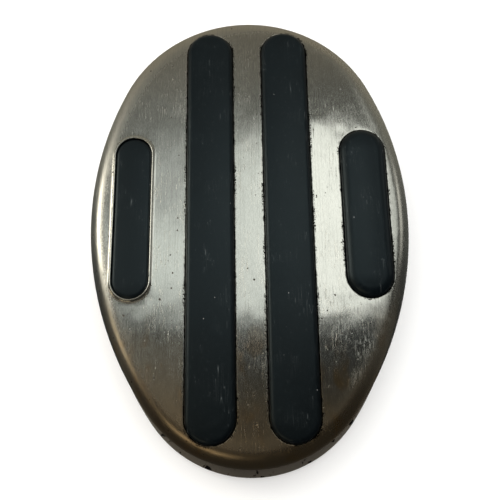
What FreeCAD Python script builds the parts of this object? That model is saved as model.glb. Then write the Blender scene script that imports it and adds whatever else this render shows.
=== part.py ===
import FreeCAD, Part
import math
import os
import re

import Sketcher
from FreeCAD import Placement, Rotation, Vector

# A domestic sewing machine foot controller: an egg-shaped treadle of pressed stainless steel,
# set with four rubber treads, rocks on a hinge pin at its narrow heel end over a steel tray.
# The tray holds two return springs, the stop and a carbon-pile speed control.
# Frame: +Z up, +Y towards the wide toe end, origin on the floor under the middle of the outline.
# The treadle's pieces are drawn level, as when it is fully pressed, and then tilted to rest.

SIZES = {
    # outline of the treadle
    "outer_length": 165.0, "outer_width": 113.0, "toe_inset": 6.5, "heel_inset": 14.0,
    # pressed cover
    "cover_wall": 1.2, "roll_radius": 5.5, "top_level": 34.0,
    "skirt_toe_level": 12.5, "skirt_heel_level": 19.5,
    "notch_width": 24.0, "notch_rise": 6.5, "lip_width": 1.2, "lip_height": 0.9,
    # rubber treads
    "long_width": 16.8, "long_inset": 7.5, "long_offset": 13.7,
    "left_width": 12.9, "left_length": 59.4, "left_offset": 41.0, "left_middle": 2.6,
    "right_width": 16.2, "right_length": 62.0, "right_offset": 40.8, "right_middle": 3.0,
    "long_proud": 1.8, "right_proud": 2.4, "left_sunk": 0.3, "tread_fit": 0.12, "tread_edge": 1.2,
    "peg_diameter": 3.4, "peg_head": 5.2, "peg_cap": 1.3, "peg_fit": 0.1,
    "long_peg_inset": 9.0, "short_peg_inset": 12.0,
    # carrier plate under the cover
    "carrier_drop": 2.0, "carrier_thickness": 1.5, "carrier_gap": 1.5,
    "stud_diameter": 4.0, "stud_collar": 7.0, "stud_margin": 10.0, "stud_spacing": 12.0,
    "nut_size": 7.0, "nut_height": 3.0, "hole_fit": 0.2,
    # hinge
    "hinge_inset": 20.5, "hinge_level": 20.0, "rest_angle": 6.0,
    "pin_diameter": 5.0, "pin_fit": 0.05, "ear_offset": 17.0, "ear_thickness": 2.0, "ear_width": 11.0,
    "bush_wall": 1.5, "bush_flange": 1.0, "bush_lip": 2.0, "side_gap": 0.3,
    "bracket_thickness": 2.0, "bracket_width": 12.0, "bracket_foot": 11.0,
    "clip_thickness": 0.8, "clip_diameter": 9.0, "pin_end": 1.7,
    # pressed tray
    "foot_height": 6.0, "tray_thickness": 1.5, "wall_gap": 1.5, "flange_overhang": 1.7,
    "wall_clearance": 1.0, "wall_heel_level": 24.5,
    "vent_width": 3.0, "vent_length": 20.0, "vent_pitch": 7.0, "vent_middle": 24.0,
    # rubber feet and their screws
    "foot_diameter": 14.0, "foot_recess": 3.4, "recess_diameter": 8.4,
    "toe_foot_offset": 34.0, "toe_foot_inset": 39.0, "heel_foot_offset": 31.0, "heel_foot_inset": 42.5,
    "screw_diameter": 4.0, "head_diameter": 7.0, "head_height": 2.2,
    # rivets
    "rivet_diameter": 3.0, "rivet_head": 5.0, "rivet_cap": 0.9, "rivet_margin": 0.5,
    # return springs
    "spring_margin": 3.9, "spring_inset": 24.5, "spring_diameter": 12.0, "spring_wire": 1.4,
    "spring_turns": 8.0, "seat_thickness": 1.2, "seat_diameter": 15.0, "boss_diameter": 8.0,
    "boss_height": 3.0, "cap_boss_diameter": 5.5, "cap_boss_height": 2.5, "spring_lead": 0.8,
    "spring_gap": 0.05, "wire_slope": 0.1,
    # travel stop
    "stop_reach": 110.0, "stop_inset": 34.5, "bridge_width": 22.0, "bridge_depth": 9.0, "lug_level": 1.0,
    "bridge_thickness": 2.0, "stop_pad_thickness": 1.5, "lug_width": 10.0, "lug_thickness": 2.0,
    "lug_clearance": 2.5, "stop_gap": 0.25, "bumper_diameter": 9.0,
    # speed control
    "control_reach": 30.0, "housing_width": 48.0, "housing_depth": 26.0, "housing_height": 17.0,
    "chamber_width": 38.0, "chamber_depth": 14.0, "chamber_floor": 10.0,
    "stack_offset": 12.0, "stack_diameter": 8.0, "stack_fit": 0.1, "button_height": 1.2,
    "terminal_level": 3.0, "terminal_thickness": 0.8, "terminal_width": 6.0, "terminal_reach": 8.0,
    "terminal_inset": 2.5,
    "cover_plate": 1.5, "guide_diameter": 8.0, "guide_fit": 0.15, "collar_diameter": 11.0,
    "collar_height": 1.6, "bridge_bar": 1.5, "bar_width": 7.0, "plunger_gap": 0.15,
    "pad_thickness": 1.5, "pad_size": 14.0, "control_spring_diameter": 8.0,
    "control_spring_wire": 0.8, "control_spring_turns": 4.0, "contact_gap": 0.25,
    "spring_pocket": 1.0, "pocket_fit": 0.5, "dome_flat": 1.0, "lid_screw_side": 4.0, "lid_screw_end": 3.0,
    # suppressor
    "can_diameter": 14.0, "can_length": 30.0, "can_gap": 1.5, "clip_wall": 1.0, "clip_width": 9.0,
    "clip_foot": 7.0, "can_lift": 1.0,
    # appliance inlet and inner leads
    "inlet_width": 19.0, "inlet_depth": 11.0, "inlet_setback": 1.0, "well_width": 14.4,
    "well_height": 7.6, "well_depth": 9.0, "inlet_pin_diameter": 2.4, "inlet_pin_pitch": 8.6,
    "inlet_pin_reach": 8.0, "tag_length": 4.0, "tag_diameter": 2.0, "inlet_flange": 6.0, "lead_diameter": 2.6,
    "lead_clearance": 5.0,
}

document = FreeCAD.newDocument("foot_controller")
sheet = document.addObject("Spreadsheet::Sheet", "Sizes")
for row, (name, number) in enumerate(SIZES.items(), start=1):
    sheet.set(f"A{row}", name)
    sheet.set(f"B{row}", str(number))
    sheet.setAlias(f"B{row}", name)
document.recompute()

# Places that several pieces share, written in terms of the sizes.
HALF_WIDTH = "(outer_width / 2)"
HALF_LENGTH = "(outer_length / 2)"
TOE_RADIUS = f"({HALF_WIDTH} - toe_inset)"
HEEL_RADIUS = f"({HALF_WIDTH} - heel_inset)"
HINGE_Y = f"(hinge_inset - {HALF_LENGTH})"
CARRIER_TOP = "(top_level - cover_wall - carrier_drop)"
CARRIER_UNDER = f"({CARRIER_TOP} - carrier_thickness)"
FLOOR = "(foot_height + tray_thickness)"
WALL_OUTSIDE = "(0 - cover_wall - wall_gap)"
WALL_TOE_LEVEL = f"({CARRIER_UNDER} - wall_clearance)"
CONTROL_Y = f"({HINGE_Y} + control_reach)"
HOUSING_TOP = f"({FLOOR} + housing_height)"
CHAMBER_FLOOR = f"({FLOOR} + chamber_floor)"
TERMINAL_TOP = f"({FLOOR} + terminal_level + terminal_thickness)"
LEAD_LEVEL = f"({TERMINAL_TOP} + lead_diameter / 2)"
SPRING_Y = f"({HALF_LENGTH} - spring_inset)"
STOP_Y = f"min({HINGE_Y} + stop_reach; {HALF_LENGTH} - stop_inset)"
LONG_LENGTH = "(outer_length - 2 * long_inset)"
SPRING_X = "(long_offset + long_width / 2 + spring_margin)"
CAN_Y = f"({CONTROL_Y} + housing_depth / 2 + can_gap + clip_foot + clip_wall + can_diameter / 2)"
PAD_UNDER = f"({CARRIER_UNDER} - pad_thickness)"
CLEAR = "1"

sub_parts = []


def sized(text):
    """The expression with each named size written as a cell of the sheet."""
    return re.sub(r"[a-z_]+", lambda word: "Sizes." + word[0] if word[0] in SIZES else word[0], text)


def size(text):
    """What an expression comes to, in millimetres or degrees."""
    return float(sheet.evalExpression(sized(text)))


def new_body(label):
    body = document.addObject("PartDesign::Body", label)
    body.Label = label
    body.AllowCompound = True
    sub_parts.append(body)
    return body


def new_sketch(body, plane, height):
    """A sketch on one of the body's own planes, moved along the plane's normal."""
    sketch = body.newObject("Sketcher::SketchObject", "Sketch")
    origin_plane = next(item for item in body.Origin.OriginFeatures if item.Role == plane)
    sketch.AttachmentSupport = [(origin_plane, "")]
    sketch.MapMode = "FlatFace"
    sketch.setExpression("AttachmentOffset.Base.z", sized(height))
    return sketch


def fix(sketch, kind, *where, to):
    """Add a dimension to the sketch and bind it to the sizes."""
    number = sketch.addConstraint(Sketcher.Constraint(kind, *where, size(to)))
    sketch.setExpression(f"Constraints[{number}]", sized(to))


def place_point(sketch, curve, point, across, up):
    fix(sketch, "DistanceX", -1, 1, curve, point, to=across)
    fix(sketch, "DistanceY", -1, 1, curve, point, to=up)


def circle(across, up, diameter):
    def draw(sketch):
        middle = Vector(size(across), size(up), 0)
        curve = sketch.addGeometry(Part.Circle(middle, Vector(0, 0, 1), size(diameter) / 2), False)
        place_point(sketch, curve, 3, across, up)
        fix(sketch, "Radius", curve, to=f"({diameter}) / 2")
    return draw


def polygon(*points):
    def draw(sketch):
        corners = [Vector(size(across), size(up), 0) for across, up in points]
        curves = [
            sketch.addGeometry(Part.LineSegment(corner, corners[(place + 1) % len(corners)]), False)
            for place, corner in enumerate(corners)
        ]
        for place, curve in enumerate(curves):
            following = curves[(place + 1) % len(curves)]
            sketch.addConstraint(Sketcher.Constraint("Coincident", curve, 2, following, 1))
        for curve, (across, up) in zip(curves, points):
            place_point(sketch, curve, 1, across, up)
    return draw


def box(left, right, low, high):
    return polygon((left, low), (right, low), (right, high), (left, high))


def slot(across, up, width, length):
    """A straight-sided opening with half-round ends, its length up the sketch."""
    def draw(sketch):
        radius = size(width) / 2
        reach = size(length) / 2 - radius
        middle = Vector(size(across), size(up), 0)
        ends = []
        for way in (1, -1):
            round_end = Part.Circle(middle + Vector(0, way * reach, 0), Vector(0, 0, 1), radius)
            start = 0 if way > 0 else math.pi
            ends.append(sketch.addGeometry(Part.ArcOfCircle(round_end, start, start + math.pi), False))
        top, bottom = ends
        sides = [
            sketch.addGeometry(Part.LineSegment(
                middle + Vector(way * radius, way * reach, 0),
                middle + Vector(way * radius, -way * reach, 0)), False)
            for way in (-1, 1)
        ]
        left, right = sides
        for first, first_end, second, second_end in (
                (top, 2, left, 2), (left, 1, bottom, 1), (bottom, 2, right, 2), (right, 1, top, 1)):
            sketch.addConstraint(Sketcher.Constraint("Tangent", first, first_end, second, second_end))
        place_point(sketch, top, 3, across, f"({up}) + ({length} - ({width})) / 2")
        place_point(sketch, bottom, 3, across, f"({up}) - ({length} - ({width})) / 2")
        fix(sketch, "Radius", top, to=f"({width}) / 2")
        sketch.addConstraint(Sketcher.Constraint("Equal", top, bottom))
    return draw


# The side arc of the egg touches the toe and heel arcs and the half width.  The distances of the
# touching arcs' middles give its radius in closed form.
SPAN = f"(outer_length - {TOE_RADIUS} - {HEEL_RADIUS})"
STEP = f"({TOE_RADIUS} - {HEEL_RADIUS})"
RISE = f"((sqrt(heel_inset * ({SPAN}^2 - {STEP}^2)) - {SPAN} * sqrt(toe_inset)) / {STEP})"
SIDE_RADIUS = f"(({TOE_RADIUS} + {RISE}^2 + {HALF_WIDTH}) / 2)"


def egg(offset):
    """The outline: toe, heel and two side arcs, each tangent to the next, moved out by offset."""
    def draw(sketch):
        out = size(offset)
        toe_y = size(f"{HALF_LENGTH} - {TOE_RADIUS}")
        heel_y = size(f"{HEEL_RADIUS} - {HALF_LENGTH}")
        toe, heel, side = size(TOE_RADIUS), size(HEEL_RADIUS), size(SIDE_RADIUS)
        side_x = side - size(HALF_WIDTH)
        side_y = toe_y - math.sqrt((side - toe) ** 2 - side_x ** 2)
        upper = math.atan2(toe_y - side_y, side_x)
        lower = math.atan2(heel_y - side_y, side_x)
        curves = []
        for across, up, radius, start, end in (
                (0, toe_y, toe, upper, math.pi - upper),
                (side_x, side_y, side, math.pi - upper, math.pi - lower),
                (0, heel_y, heel, math.pi - lower, 2 * math.pi + lower),
                (-side_x, side_y, side, lower, upper)):
            arc = Part.Circle(Vector(across, up, 0), Vector(0, 0, 1), radius + out)
            curves.append(sketch.addGeometry(Part.ArcOfCircle(arc, start, end), False))
        for place, curve in enumerate(curves):
            following = curves[(place + 1) % len(curves)]
            sketch.addConstraint(Sketcher.Constraint("Tangent", curve, 2, following, 1))
        place_point(sketch, curves[0], 3, "0", f"{HALF_LENGTH} - {TOE_RADIUS}")
        place_point(sketch, curves[2], 3, "0", f"{HEEL_RADIUS} - {HALF_LENGTH}")
        fix(sketch, "Radius", curves[0], to=f"{TOE_RADIUS} + {offset}")
        fix(sketch, "Radius", curves[2], to=f"{HEEL_RADIUS} + {offset}")
        fix(sketch, "Radius", curves[1], to=f"{SIDE_RADIUS} + {offset}")
        fix(sketch, "Radius", curves[3], to=f"{SIDE_RADIUS} + {offset}")
    return draw


def pad(body, plane, start, end, *outlines):
    """Add the outlines, drawn out along the plane's normal from start to end."""
    sketch = new_sketch(body, plane, start)
    for outline in outlines:
        outline(sketch)
    feature = body.newObject("PartDesign::Pad", "Pad")
    feature.Profile = sketch
    feature.setExpression("Length", sized(f"({end}) - ({start})"))
    document.recompute()


def cut(body, plane, start, end, *outlines):
    """Take the outlines away between start and end, and make sure that something went."""
    before = body.Shape.Volume
    sketch = new_sketch(body, plane, start)
    for outline in outlines:
        outline(sketch)
    feature = body.newObject("PartDesign::Pocket", "Pocket")
    feature.Profile = sketch
    feature.Reversed = True
    feature.setExpression("Length", sized(f"({end}) - ({start})"))
    document.recompute()
    if body.Shape.Volume >= before:
        raise RuntimeError(f"a pocket of {body.Label} cuts nothing")


def round_edges(body, radius, chosen):
    """Fillet the edges for which chosen(edge) is true."""
    edges = [f"Edge{number}" for number, edge in enumerate(body.Shape.Edges, start=1) if chosen(edge)]
    base = body.Tip
    feature = body.newObject("PartDesign::Fillet", "Fillet")
    feature.Base = (base, edges)
    feature.setExpression("Radius", sized(radius))
    document.recompute()


def at_level(level):
    """Whether an edge lies wholly in the level plane."""
    height = size(level)

    def chosen(edge):
        bounds = edge.BoundBox
        return abs(bounds.ZMin - height) < 0.001 and abs(bounds.ZMax - height) < 0.001
    return chosen


def turned(label, places, steps, plane="XY_Plane"):
    """A round piece, or a group of like ones, as discs of (start, end, diameter, bore)."""
    body = new_body(label)
    for start, end, diameter, bore in steps:
        rings = [circle(across, up, diameter) for across, up in places]
        if bore:
            rings += [circle(across, up, bore) for across, up in places]
        pad(body, plane, start, end, *rings)
    return body


def rest_placement():
    """The turn about the hinge pin that lifts the toe from fully pressed to rest."""
    middle = Vector(0, size(HINGE_Y), size("hinge_level"))
    return Placement(Vector(0, 0, 0), Rotation(Vector(1, 0, 0), size("rest_angle")), middle)


def coil(label, across, up, low, high, diameter, wire, turns):
    """A compression spring with its wire's ends between low and high."""
    body = new_body(label)
    sketch = new_sketch(body, "XZ_Plane", "0")
    circle(f"({diameter} - {wire}) / 2", f"({wire}) / 2", wire)(sketch)
    document.recompute()
    helix = body.newObject("PartDesign::AdditiveHelix", "Helix")
    helix.Profile = sketch
    helix.ReferenceAxis = (sketch, ["V_Axis"])
    helix.Mode = "height-turns-angle"
    helix.setExpression("Height", sized(f"({high}) - ({low}) - ({wire}) * (1 + wire_slope)"))
    helix.setExpression("Turns", sized(turns))
    document.recompute()
    body.Placement = Placement(Vector(size(across), size(up), size(low)), Rotation())
    return body


def mirrored(way, text):
    """The expression for the right side as it is, or for the left side with its sign changed."""
    return text if way > 0 else f"(0 - ({text}))"


def side_steps(way, start, end):
    """A stretch along X on one side, from the lower to the higher value."""
    return (start, end) if way > 0 else (f"0 - ({end})", f"0 - ({start})")


SIDES = (("left", -1), ("right", 1))
HOLE = "(screw_diameter + hole_fit)"
RIVET_HOLE = "rivet_diameter"

# Where the treads, their pegs and the weld studs are.
TREADS = {
    "long_tread_left": ("0 - long_offset", "0", "long_width", LONG_LENGTH, "long_proud"),
    "long_tread_right": ("long_offset", "0", "long_width", LONG_LENGTH, "long_proud"),
    "short_tread_left": ("0 - left_offset", "left_middle", "left_width", "left_length",
                         "(lip_height - left_sunk)"),
    "short_tread_right": ("right_offset", "right_middle", "right_width", "right_length", "right_proud"),
}


def tread_pegs(label):
    """Evenly spaced peg places down a tread's middle, the outer two inset from its ends."""
    across, middle, width, length, proud = TREADS[label]
    count, inset = (4, "long_peg_inset") if label.startswith("long") else (2, "short_peg_inset")
    pitch = f"({length} - 2 * {inset}) / {count - 1}"
    return [(across, f"({middle}) + {place - (count - 1) / 2} * {pitch}") for place in range(count)]


STUD_X = "(long_offset + long_width / 2 + stud_margin)"
STUD_PLACES = [
    (mirrored(way, STUD_X), f"right_middle {sign} (right_length / 2 + stud_spacing)")
    for label, way in SIDES for sign in ("+", "-")
]
CAP_PLACES = [(mirrored(way, SPRING_X), SPRING_Y) for label, way in SIDES]
SEAT_PLACES = [(mirrored(way, SPRING_X), f"{SPRING_Y} - spring_lead") for label, way in SIDES]
LUG_Y = f"({STOP_Y} - bridge_depth / 2 - lug_clearance)"
LUG_BACK = f"({LUG_Y} - lug_thickness)"
LUG_RIVETS = [("0", f"{LUG_BACK} - {place} * (rivet_head + rivet_margin)") for place in (0.5, 1.5)]

# Treadle cover: a drawn stainless shell with a rolled rim, four slots and a skirt.  Its outside
# carries the slots, the lip round one of them and the trimmed skirt; its hollow is cut from that.
outside = new_body("cover_outside")
pad(outside, "XY_Plane", "skirt_toe_level", "top_level", egg("0"))
round_edges(outside, "roll_radius", at_level("top_level"))
pad(outside, "XY_Plane", "top_level - cover_wall", "top_level + lip_height",
    slot("0 - left_offset", "left_middle", "left_width + 2 * lip_width", "left_length + 2 * lip_width"))
for across, middle, width, length, proud in TREADS.values():
    cut(outside, "XY_Plane", "top_level - roll_radius", f"top_level + lip_height + {CLEAR}",
        slot(across, middle, width, length))
cut(outside, "YZ_Plane", f"0 - {HALF_WIDTH} - {CLEAR}", f"{HALF_WIDTH} + {CLEAR}", polygon(
    (f"0 - {HALF_LENGTH} - {CLEAR}", f"skirt_toe_level - {CLEAR}"),
    (f"{HALF_LENGTH} + {CLEAR}", f"skirt_toe_level - {CLEAR}"),
    (f"{HALF_LENGTH} + {CLEAR}", "skirt_toe_level"),
    (f"0 - {HALF_LENGTH} - {CLEAR}", "skirt_heel_level")))
cut(outside, "XY_Plane", f"skirt_toe_level - {CLEAR}", "skirt_toe_level + notch_rise",
    box("0 - notch_width / 2", "notch_width / 2",
        f"{HALF_LENGTH} - 2 * roll_radius", f"{HALF_LENGTH} + {CLEAR}"))
hollow = new_body("cover_hollow")
pad(hollow, "XY_Plane", f"skirt_toe_level - {CLEAR}", "top_level - cover_wall", egg("0 - cover_wall"))
round_edges(hollow, "roll_radius - cover_wall", at_level("top_level - cover_wall"))
cover = document.addObject("Part::Cut", "treadle_cover")
cover.Label = "treadle_cover"
cover.Base = outside
cover.Tool = hollow
sub_parts[:] = [cover]

# Rubber treads: blocks that fill the slots, held by moulded pegs pulled through the carrier plate.
for label, (across, middle, width, length, proud) in TREADS.items():
    tread = new_body(label)
    crown = f"top_level + {proud}"
    pad(tread, "XY_Plane", CARRIER_TOP, crown,
        slot(across, middle, f"({width} - 2 * tread_fit)", f"({length} - 2 * tread_fit)"))
    round_edges(tread, "tread_edge", at_level(crown))
    for start, end, diameter in ((CARRIER_UNDER, CARRIER_TOP, "peg_diameter"),
                                 (f"{CARRIER_UNDER} - peg_cap", CARRIER_UNDER, "peg_head")):
        pad(tread, "XY_Plane", start, end, *[circle(x, y, diameter) for x, y in tread_pegs(label)])

# Carrier plate: the steel plate that stiffens the cover, with the two hinge ears bent down from it.
EAR_OUTSIDE = "(ear_offset + ear_thickness)"
BUSH_OUTSIDE = "(pin_diameter + 2 * pin_fit + 2 * bush_wall)"
carrier = new_body("carrier_plate")
pad(carrier, "XY_Plane", CARRIER_UNDER, CARRIER_TOP, egg("0 - cover_wall - carrier_gap"))
for side, way in SIDES:
    start, end = side_steps(way, "ear_offset", EAR_OUTSIDE)
    pad(carrier, "YZ_Plane", start, end, circle(HINGE_Y, "hinge_level", "ear_width"))
    pad(carrier, "YZ_Plane", start, end, box(
        f"{HINGE_Y} - ear_width / 2", f"{HINGE_Y} + ear_width / 2", "hinge_level", CARRIER_UNDER))
    cut(carrier, "YZ_Plane", start, end, circle(HINGE_Y, "hinge_level", BUSH_OUTSIDE))
for label in TREADS:
    cut(carrier, "XY_Plane", CARRIER_UNDER, CARRIER_TOP,
        *[circle(x, y, "peg_diameter + 2 * peg_fit") for x, y in tread_pegs(label)])
cut(carrier, "XY_Plane", CARRIER_UNDER, CARRIER_TOP,
    *[circle(x, y, "stud_diameter + 2 * hole_fit") for x, y in STUD_PLACES])
cut(carrier, "XY_Plane", CARRIER_UNDER, CARRIER_TOP,
    *[circle(x, y, RIVET_HOLE) for x, y in CAP_PLACES + LUG_RIVETS])

# Weld studs with collars hold the carrier off the cover, and a nut on each clamps it there.
turned("cover_studs", STUD_PLACES, (
    (CARRIER_TOP, "top_level - cover_wall", "stud_collar", None),
    (f"{CARRIER_UNDER} - nut_height - {CLEAR}", CARRIER_TOP, "stud_diameter", None)))
turned("carrier_nuts", STUD_PLACES, (
    (f"{CARRIER_UNDER} - nut_height", CARRIER_UNDER, "nut_size", "stud_diameter"),))

# Flanged bushes line the ears and turn on the hinge pin.
PIN_BORE = "(pin_diameter + 2 * pin_fit)"
for side, way in SIDES:
    inner = side_steps(way, "ear_offset", EAR_OUTSIDE)
    flange = side_steps(way, EAR_OUTSIDE, f"{EAR_OUTSIDE} + bush_flange")
    turned(f"hinge_bush_{side}", [(HINGE_Y, "hinge_level")], (
        (*inner, BUSH_OUTSIDE, PIN_BORE),
        (*flange, f"{BUSH_OUTSIDE} + 2 * bush_lip", PIN_BORE)), "YZ_Plane")

# Pusher pad under the carrier, over the control's plunger.
pusher = new_body("pusher_pad")
pad(pusher, "XY_Plane", PAD_UNDER, CARRIER_UNDER,
    box("0 - pad_size / 2", "pad_size / 2", f"{CONTROL_Y} - pad_size / 2", f"{CONTROL_Y} + pad_size / 2"))

# Spring caps, riveted under the carrier, hold the tops of the return springs.
CAP_UNDER = f"({CARRIER_UNDER} - seat_thickness)"
for (across, up), (side, way) in zip(CAP_PLACES, SIDES):
    turned(f"spring_cap_{side}", [(across, up)], (
        (CAP_UNDER, CARRIER_UNDER, "seat_diameter", RIVET_HOLE),
        (f"{CAP_UNDER} - cap_boss_height", CAP_UNDER, "cap_boss_diameter", RIVET_HOLE)))
turned("cap_rivets", CAP_PLACES, (
    (f"{CAP_UNDER} - cap_boss_height", CARRIER_TOP, "rivet_diameter", None),
    (CARRIER_TOP, f"{CARRIER_TOP} + rivet_cap", "rivet_head", None)))

# Stop lug: an L-shaped strap under the carrier whose toe catches under the stop bridge.
LUG_LOW = f"({FLOOR} + lug_level)"
LUG_TOP = f"({LUG_LOW} + lug_thickness)"
lug = new_body("stop_lug")
pad(lug, "YZ_Plane", "0 - lug_width / 2", "lug_width / 2", polygon(
    (f"{LUG_BACK} - 2 * (rivet_head + rivet_margin)", CARRIER_UNDER),
    (f"{LUG_BACK} - 2 * (rivet_head + rivet_margin)", f"{CARRIER_UNDER} - lug_thickness"),
    (LUG_BACK, f"{CARRIER_UNDER} - lug_thickness"),
    (LUG_BACK, LUG_LOW),
    (f"{LUG_Y} + bridge_depth", LUG_LOW),
    (f"{LUG_Y} + bridge_depth", LUG_TOP),
    (LUG_Y, LUG_TOP),
    (LUG_Y, CARRIER_UNDER)))
cut(lug, "XY_Plane", f"{CARRIER_UNDER} - lug_thickness", CARRIER_UNDER,
    *[circle(x, y, RIVET_HOLE) for x, y in LUG_RIVETS])
turned("lug_rivets", LUG_RIVETS, (
    (f"{CARRIER_UNDER} - lug_thickness - rivet_cap", f"{CARRIER_UNDER} - lug_thickness", "rivet_head", None),
    (f"{CARRIER_UNDER} - lug_thickness", CARRIER_TOP, "rivet_diameter", None),
    (CARRIER_TOP, f"{CARRIER_TOP} + rivet_cap", "rivet_head", None)))

treadle_pieces = list(sub_parts)
for piece in treadle_pieces:
    piece.Placement = rest_placement()

# Base tray: a pressed steel pan whose rim stands out all round under the treadle.
tray = new_body("base_tray")
pad(tray, "XY_Plane", "foot_height", FLOOR, egg("flange_overhang"))
pad(tray, "XY_Plane", FLOOR, WALL_TOE_LEVEL, egg(WALL_OUTSIDE))
cut(tray, "XY_Plane", FLOOR, f"{WALL_TOE_LEVEL} + {CLEAR}", egg(f"{WALL_OUTSIDE} - tray_thickness"))
cut(tray, "YZ_Plane", f"0 - {HALF_WIDTH}", HALF_WIDTH, polygon(
    (f"0 - {HALF_LENGTH}", "wall_heel_level"),
    (HALF_LENGTH, WALL_TOE_LEVEL),
    (HALF_LENGTH, f"{WALL_TOE_LEVEL} + {CLEAR}"),
    (f"0 - {HALF_LENGTH}", f"{WALL_TOE_LEVEL} + {CLEAR}")))
INLET_TOP = f"(2 * {LEAD_LEVEL} - {FLOOR})"
INLET_FRONT = f"({HALF_LENGTH} + {WALL_OUTSIDE} - inlet_setback)"
cut(tray, "XY_Plane", FLOOR, INLET_TOP, box(
    "0 - inlet_width / 2", "inlet_width / 2", f"{INLET_FRONT} - 2 * tray_thickness", HALF_LENGTH))
FEET = {
    f"foot_{end}_{side}": (mirrored(way, f"{end}_foot_offset"), up)
    for end, up in (
        ("toe", f"({HALF_LENGTH} - toe_foot_inset)"), ("heel", f"(heel_foot_inset - {HALF_LENGTH})"))
    for side, way in SIDES
}
BRACKET_INSIDE = f"({EAR_OUTSIDE} + bush_flange + side_gap)"
BRACKET_RIVETS = [
    (mirrored(way, f"{BRACKET_INSIDE} - bracket_foot / 2"), f"{HINGE_Y} {sign} bracket_width / 4")
    for side, way in SIDES for sign in ("+", "-")
]
BRIDGE_RIVETS = [
    (mirrored(way, "bridge_width / 2 + rivet_head / 2 + rivet_margin"), STOP_Y) for side, way in SIDES
]
CLIP_RIVETS = [("0", f"{CAN_Y} {sign} (can_diameter / 2 + clip_wall + clip_foot / 2)") for sign in ("+", "-")]
INLET_RIVETS = [
    (mirrored(way, "inlet_width / 2 + inlet_flange / 2"), f"{INLET_FRONT} - inlet_depth + inlet_flange / 2")
    for side, way in SIDES
]
HOUSING_SCREWS = [
    (mirrored(way, "housing_width / 2 - (housing_width - chamber_width) / 4"), CONTROL_Y)
    for side, way in SIDES
]
cut(tray, "XY_Plane", "foot_height", FLOOR, *[circle(x, y, HOLE) for x, y in FEET.values()])
cut(tray, "XY_Plane", "foot_height", FLOOR, *[
    circle(x, y, RIVET_HOLE)
    for x, y in BRACKET_RIVETS + BRIDGE_RIVETS + CLIP_RIVETS + INLET_RIVETS + SEAT_PLACES])
for step in (-1, 0, 1):
    cut(tray, "XY_Plane", "foot_height", FLOOR,
        slot(f"{step} * vent_pitch", "vent_middle", "vent_width", "vent_length"))

# Rubber feet, each held by a screw in its recess and a nut on the tray's floor.
for label, (across, up) in FEET.items():
    turned(label, [(across, up)], (
        ("foot_recess", "foot_height", "foot_diameter", HOLE),
        ("0", "foot_recess", "foot_diameter", "recess_diameter")))
foot_places = list(FEET.values())
turned("foot_screws", foot_places, (
    ("foot_recess - head_height", "foot_recess", "head_diameter", None),
    ("foot_recess", f"{FLOOR} + nut_height + {CLEAR}", "screw_diameter", None)))
turned("foot_nuts", foot_places, (
    (FLOOR, f"{FLOOR} + nut_height", "nut_size", "screw_diameter"),))

# Hinge: two riveted brackets carry the pin, with a clip on each end.
BRACKET_OUTSIDE = f"({BRACKET_INSIDE} + bracket_thickness)"
for side, way in SIDES:
    bracket = new_body(f"hinge_bracket_{side}")
    start, end = side_steps(way, BRACKET_INSIDE, BRACKET_OUTSIDE)
    pad(bracket, "YZ_Plane", start, end, box(
        f"{HINGE_Y} - bracket_width / 2", f"{HINGE_Y} + bracket_width / 2", FLOOR, "hinge_level"))
    pad(bracket, "YZ_Plane", start, end, circle(HINGE_Y, "hinge_level", "bracket_width"))
    foot_start, foot_end = side_steps(way, f"{BRACKET_INSIDE} - bracket_foot", BRACKET_INSIDE)
    pad(bracket, "YZ_Plane", foot_start, foot_end, box(
        f"{HINGE_Y} - bracket_width / 2", f"{HINGE_Y} + bracket_width / 2",
        FLOOR, f"{FLOOR} + bracket_thickness"))
    cut(bracket, "YZ_Plane", start, end, circle(HINGE_Y, "hinge_level", "pin_diameter"))
    cut(bracket, "XY_Plane", FLOOR, f"{FLOOR} + bracket_thickness", *[
        circle(x, y, RIVET_HOLE) for x, y in BRACKET_RIVETS if size(x) * way > 0])


def floor_rivets(label, places, thickness):
    """Rivets through the tray's floor and what stands on it."""
    turned(label, places, (
        ("foot_height - rivet_cap", "foot_height", "rivet_head", None),
        ("foot_height", f"{FLOOR} + {thickness}", "rivet_diameter", None),
        (f"{FLOOR} + {thickness}", f"{FLOOR} + {thickness} + rivet_cap", "rivet_head", None)))


floor_rivets("bracket_rivets", BRACKET_RIVETS, "bracket_thickness")
PIN_REACH = f"({BRACKET_OUTSIDE} + side_gap + clip_thickness + pin_end)"
turned("hinge_pin", [(HINGE_Y, "hinge_level")], (
    (f"0 - {PIN_REACH}", PIN_REACH, "pin_diameter", None),), "YZ_Plane")
clips = new_body("pin_clips")
for side, way in SIDES:
    start, end = side_steps(
        way, f"{BRACKET_OUTSIDE} + side_gap", f"{BRACKET_OUTSIDE} + side_gap + clip_thickness")
    pad(clips, "YZ_Plane", start, end,
        circle(HINGE_Y, "hinge_level", "clip_diameter"), circle(HINGE_Y, "hinge_level", "pin_diameter"))

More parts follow.
